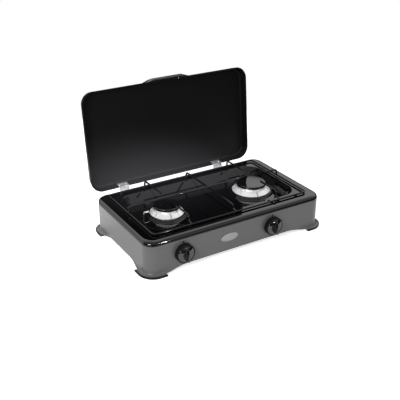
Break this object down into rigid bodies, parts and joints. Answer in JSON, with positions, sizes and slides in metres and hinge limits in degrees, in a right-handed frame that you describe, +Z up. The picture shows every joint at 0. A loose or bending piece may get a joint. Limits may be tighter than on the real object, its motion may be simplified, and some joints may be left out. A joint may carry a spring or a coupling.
{
  "type": "two-burner gas stove",
  "caption": "Tabletop gas stove with two burners of different size, wire pan support, push-and-turn knobs, hinged tray lid and flared corner legs",
  "frame": {"origin": "on the table, under the middle of the overall box with the lid open", "axes": "+X to the right along the front, +Y to the back where the lid hinges, +Z up"},
  "size_m": [0.5432, 0.4016, 0.3625],
  "materials": {
    "lacquer_grey": "semi-gloss anthracite lacquer on steel sheet",
    "enamel_black": "high-gloss black vitreous enamel on steel sheet",
    "lid_lacquer": "satin black lacquer on steel sheet",
    "rubber_black": "moulded black rubber",
    "wire_black": "black enamelled steel wire",
    "cast_aluminium": "as-cast aluminium",
    "polished_aluminium": "polished aluminium",
    "plate_aluminium": "satin anodised aluminium",
    "steel": "zinc-plated steel",
    "brass": "machined brass",
    "chrome": "bright chrome plate",
    "knob_black": "fine-grained black moulded plastic"
  },
  "bodies": {
    "stove": {"skirt_casing": "lacquer_grey", "hob_top": "enamel_black", "foot_front_left": "rubber_black", "foot_front_right": "rubber_black", "foot_back_left": "rubber_black", "foot_back_right": "rubber_black", "pan_frame": "wire_black", "pan_prongs": "wire_black", "pan_long_wire": "wire_black", "pan_cross_wire": "wire_black", "pan_feet": "rubber_black", "burner_base_left": "cast_aluminium", "burner_base_right": "cast_aluminium", "burner_crown_left": "polished_aluminium", "burner_crown_right": "polished_aluminium", "burner_cap_left": "enamel_black", "burner_cap_right": "enamel_black", "burner_screws": "steel", "injector_left": "brass", "injector_right": "brass", "flame_sensor_left": "chrome", "flame_sensor_right": "chrome", "valve_body_left": "brass", "valve_body_right": "brass", "return_spring_left": "steel", "return_spring_right": "steel", "gas_rail": "steel", "rail_clips": "steel", "gas_inlet": "brass", "inlet_nut": "brass", "name_plate": "plate_aluminium", "hinge_bracket_left": "chrome", "hinge_bracket_right": "chrome", "hinge_pin_left": "chrome", "hinge_pin_right": "chrome", "bracket_rivets": "chrome"},
    "lid": {"hinge_leaf_left": "chrome", "hinge_leaf_right": "chrome", "leaf_rivets": "chrome", "lid_panel": "lid_lacquer", "lid_grip": "knob_black", "grip_screws": "knob_black"},
    "left_push": {"thrust_washer_left": "steel"},
    "left_knob": {"knob_left": "knob_black", "valve_spindle_left": "brass"},
    "right_push": {"thrust_washer_right": "steel"},
    "right_knob": {"knob_right": "knob_black", "valve_spindle_right": "brass"}
  },
  "joints": [
    {"name": "lid_hinge", "type": "hinge", "parent": "stove", "child": "lid", "pos_m": [0, 0.12873, 0.074], "axis": [1, 0, 0], "range_deg": [0, 95.4]},
    {"name": "left_knob_push", "type": "slide", "parent": "stove", "child": "left_push", "axis": [0, 1, 0], "range_m": [0, 0.003], "stiffness_N_per_m": 1200, "springref_m": -0.003, "deforming": ["return_spring_left"]},
    {"name": "left_knob_turn", "type": "hinge", "parent": "left_push", "child": "left_knob", "pos_m": [-0.163, -0.19, 0.046], "axis": [0, -1, 0], "range_deg": [0, 210]},
    {"name": "right_knob_push", "type": "slide", "parent": "stove", "child": "right_push", "axis": [0, 1, 0], "range_m": [0, 0.003], "stiffness_N_per_m": 1200, "springref_m": -0.003, "deforming": ["return_spring_right"]},
    {"name": "right_knob_turn", "type": "hinge", "parent": "right_push", "child": "right_knob", "pos_m": [0.099, -0.19, 0.046], "axis": [0, -1, 0], "range_deg": [0, 210]}
  ]
}
